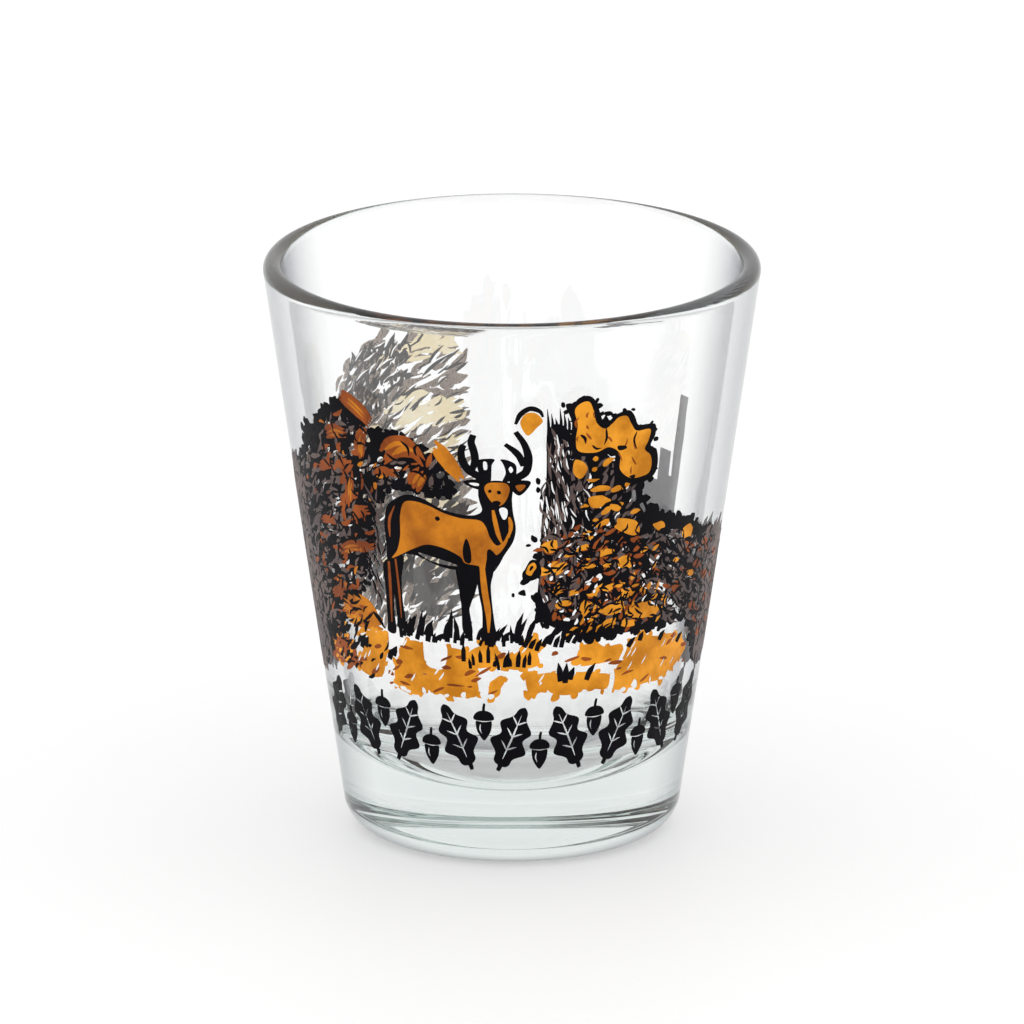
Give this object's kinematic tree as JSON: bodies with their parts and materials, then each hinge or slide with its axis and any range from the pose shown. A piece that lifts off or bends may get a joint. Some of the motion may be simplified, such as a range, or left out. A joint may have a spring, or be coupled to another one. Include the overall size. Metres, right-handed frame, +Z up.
{
  "type": "shot glass",
  "caption": "Small tapered drinking glass with a heavy hollowed base, a rounded lip and a printed woodland scene, for a single measure of spirits.",
  "frame": {"origin": "centre of the resting plane, under the middle of the base", "axes": "+Z up along the glass's axis to the lip; the front of the printed scene faces -Y; +X to the right of someone facing the front"},
  "size_m": [0.0482, 0.0482, 0.057],
  "materials": {
    "clear_glass": "fire-polished clear soda-lime glass with a faint green tint",
    "orange_enamel": "satin fired enamel ink",
    "black_enamel": "satin fired enamel ink",
    "straw_enamel": "satin fired enamel ink, printed thin",
    "grey_enamel": "satin fired enamel ink, printed as fine strokes"
  },
  "bodies": {
    "root": {"glass_tumbler": "clear_glass", "stag_orange": "orange_enamel", "stag_black": "black_enamel", "left_tree_orange": "orange_enamel", "left_tree_black": "black_enamel", "right_tree_orange": "orange_enamel", "right_tree_black": "black_enamel", "ground_orange": "orange_enamel", "grass_black": "black_enamel", "leaf_border_black": "black_enamel", "far_tree_straw": "straw_enamel", "far_tree_black": "grey_enamel", "skyline_black": "grey_enamel"}
  },
  "joints": []
}
